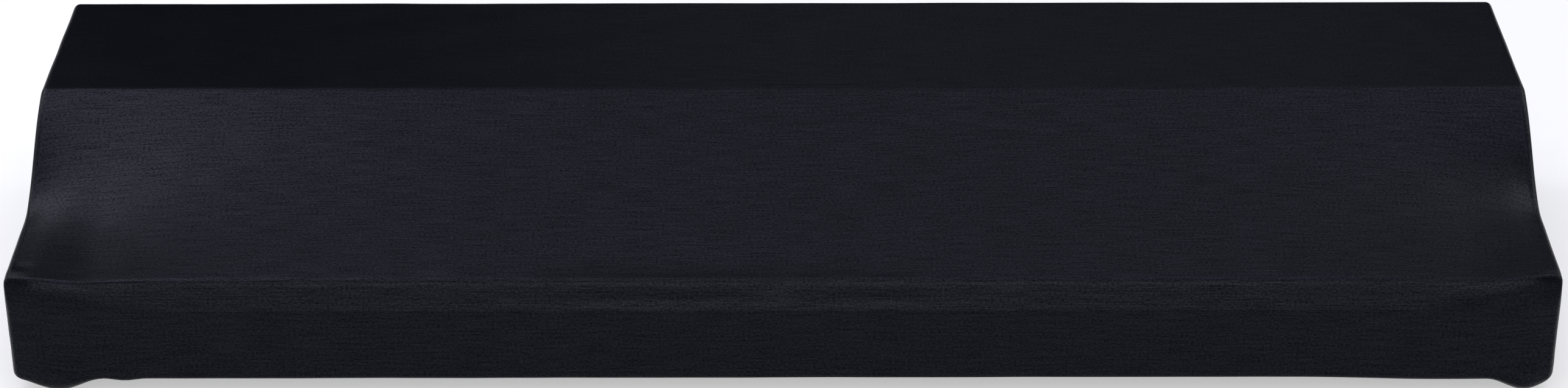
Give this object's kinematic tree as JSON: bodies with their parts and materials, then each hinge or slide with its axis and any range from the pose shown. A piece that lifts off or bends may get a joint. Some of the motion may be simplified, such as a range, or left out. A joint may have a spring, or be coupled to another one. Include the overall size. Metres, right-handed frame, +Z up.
{
  "type": "fitted keyboard dust cover",
  "caption": "Hollow fitted dust cover of stretch jersey for a long keyboard, open underneath, with a hem turned under all round.",
  "frame": {"origin": "on the underside of the flat top, at its middle, where the instrument's top carries the cover", "axes": "+X along the keyboard to the player's right, +Y from front to back, +Z up"},
  "size_m": [1.284, 0.4439, 0.1708],
  "materials": {
    "jersey": "matt blue-black stretch jersey"
  },
  "bodies": {
    "root": {"cover": "jersey"}
  },
  "joints": []
}
